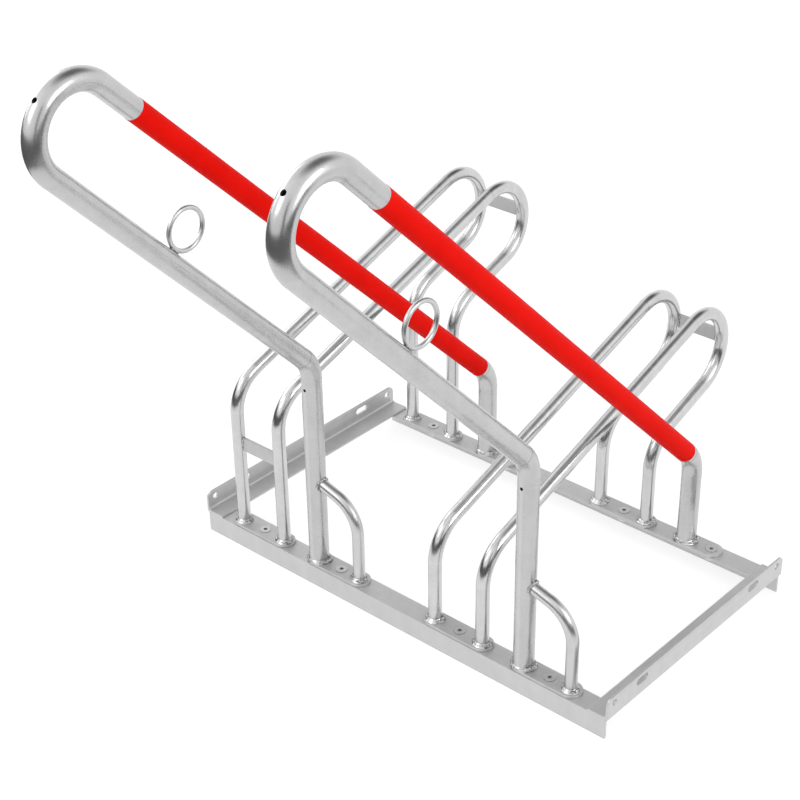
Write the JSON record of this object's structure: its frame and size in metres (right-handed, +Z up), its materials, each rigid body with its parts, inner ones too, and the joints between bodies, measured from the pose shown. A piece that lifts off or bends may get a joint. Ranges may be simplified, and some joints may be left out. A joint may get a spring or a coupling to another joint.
{
  "type": "bicycle rack",
  "caption": "Galvanised steel bicycle rack with high and low wheel loops, lean frames with red sleeves, lock rings and an angle-steel base.",
  "frame": {"origin": "on the ground, in the middle of the whole rack's length and depth", "axes": "+X along the base rails towards the low place, +Y to the rear, where the wheel loops reach out, +Z up"},
  "size_m": [0.692, 0.9193, 0.8217],
  "materials": {
    "base_steel": "hot-dip galvanised, satin",
    "loop_steel": "hot-dip galvanised, bright",
    "lean_steel": "hot-dip galvanised, satin",
    "plate_steel": "hot-dip galvanised, satin",
    "fastener_steel": "zinc plated, satin",
    "sleeve_plastic": "semi-gloss"
  },
  "bodies": {
    "root": {"front_rail": "base_steel", "rear_rail": "base_steel", "left_cross_angle": "base_steel", "right_cross_angle": "base_steel", "high_left_loop": "loop_steel", "high_right_loop": "loop_steel", "high_tie_bar": "loop_steel", "high_front_bar": "loop_steel", "high_lean_frame": "lean_steel", "high_lean_sleeve": "sleeve_plastic", "high_lock_ring": "loop_steel", "high_guide_stub": "loop_steel", "high_front_loop_plate": "plate_steel", "high_rear_loop_plate": "plate_steel", "high_front_lean_plate": "plate_steel", "high_rear_lean_plate": "plate_steel", "low_left_loop": "loop_steel", "low_right_loop": "loop_steel", "low_tie_bar": "loop_steel", "low_lean_frame": "lean_steel", "low_lean_sleeve": "sleeve_plastic", "low_lock_ring": "loop_steel", "low_guide_stub": "loop_steel", "low_front_loop_plate": "plate_steel", "low_rear_loop_plate": "plate_steel", "low_front_lean_plate": "plate_steel", "low_rear_lean_plate": "plate_steel", "plate_screws": "fastener_steel", "plate_washers": "fastener_steel", "plate_nuts": "fastener_steel"}
  },
  "joints": []
}
